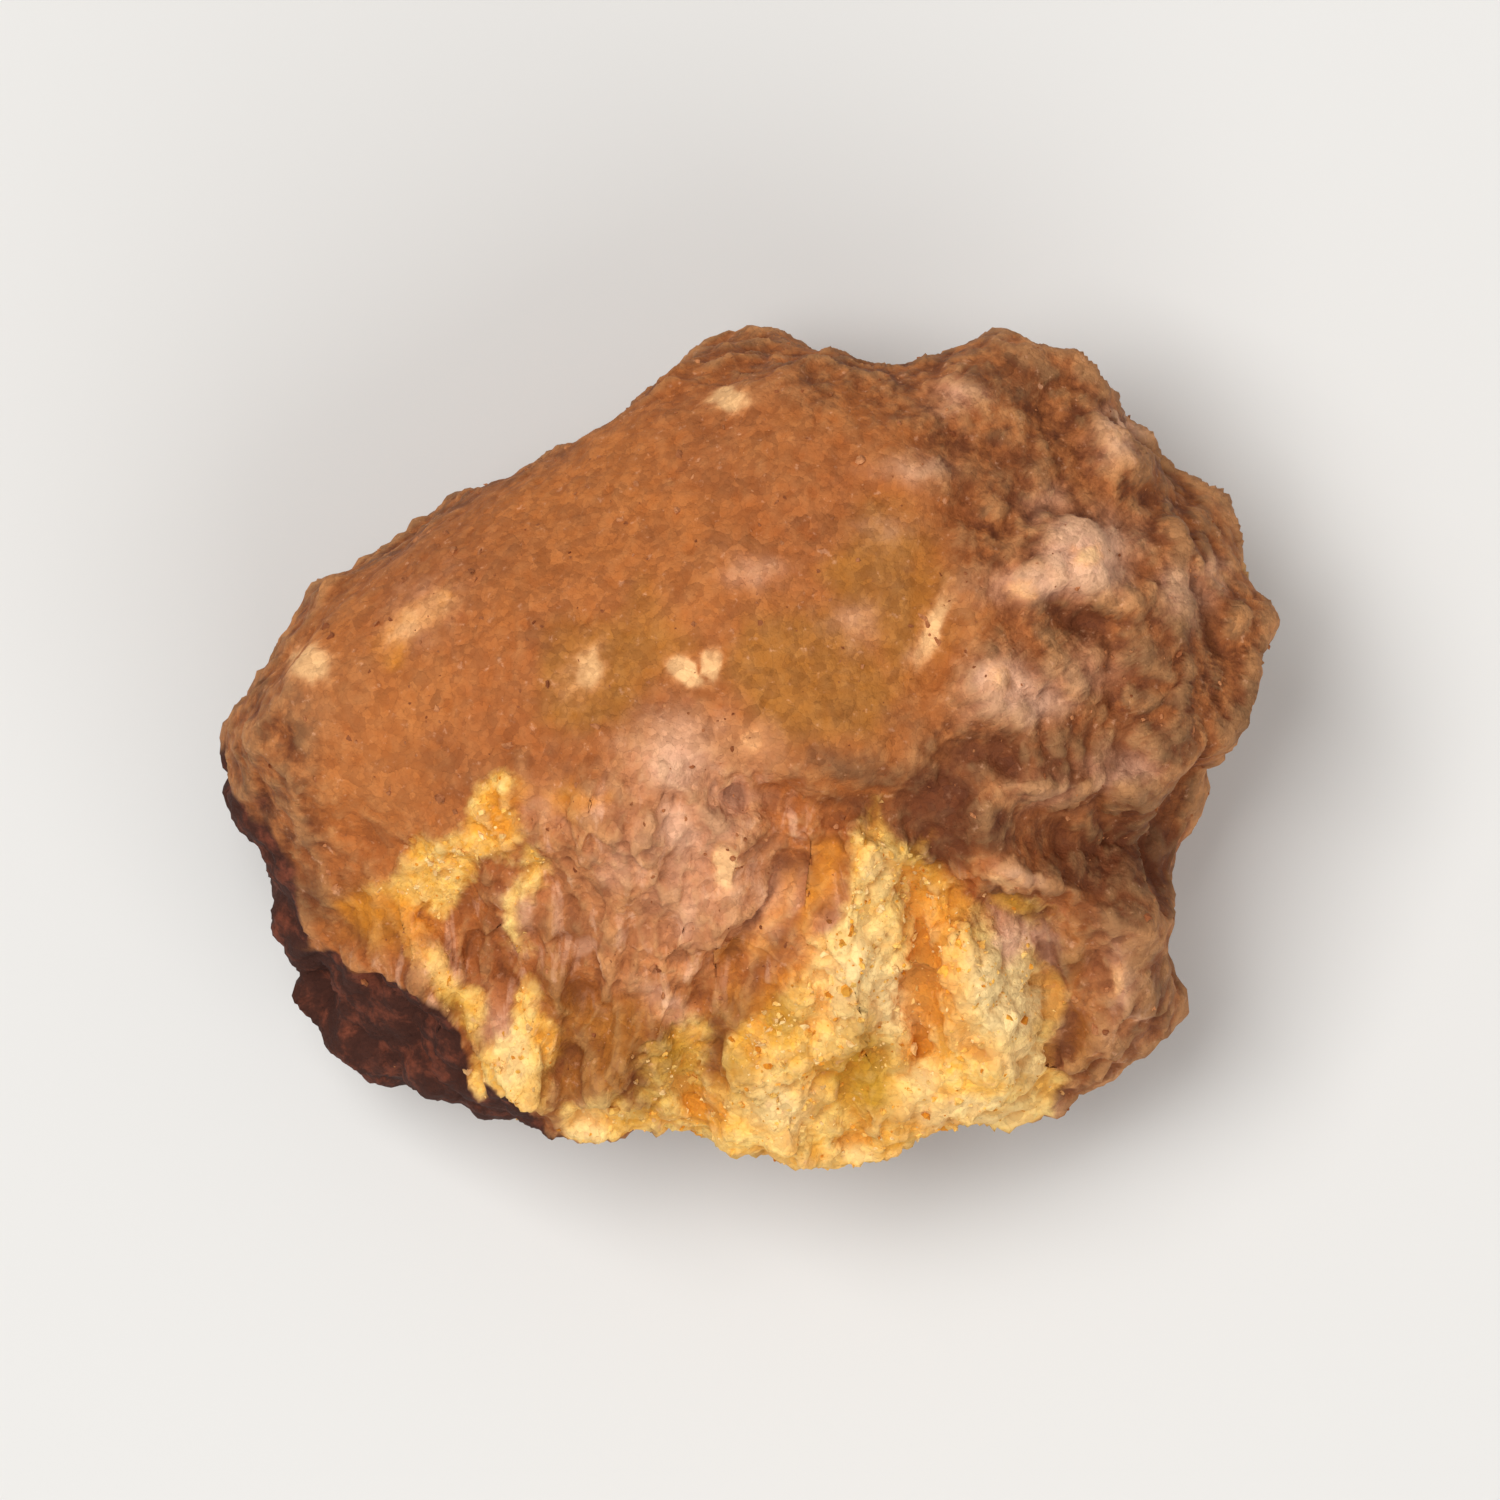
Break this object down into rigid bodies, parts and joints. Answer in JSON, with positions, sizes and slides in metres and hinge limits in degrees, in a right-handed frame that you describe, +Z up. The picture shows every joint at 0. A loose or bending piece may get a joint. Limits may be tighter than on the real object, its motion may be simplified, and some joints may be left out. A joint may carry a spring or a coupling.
{
  "type": "chaga mushroom chunk",
  "caption": "Broken chunk of dried chaga fungus: a smooth rust-brown face, a knobbly end and a crumbly golden break, resting on a small flat break.",
  "frame": {"origin": "on the flat break that it rests on, under the middle of its bounding box", "axes": "+Z up from the resting break; +X along its long way, towards the knobbly end; -Y towards the golden break"},
  "size_m": [0.01, 0.008, 0.0057],
  "materials": {
    "chaga_cork": "matte rust-brown cork with cream flecks, a purplish knobbly end and a golden crumbly break"
  },
  "bodies": {
    "root": {"chaga_chunk": "chaga_cork"}
  },
  "joints": []
}
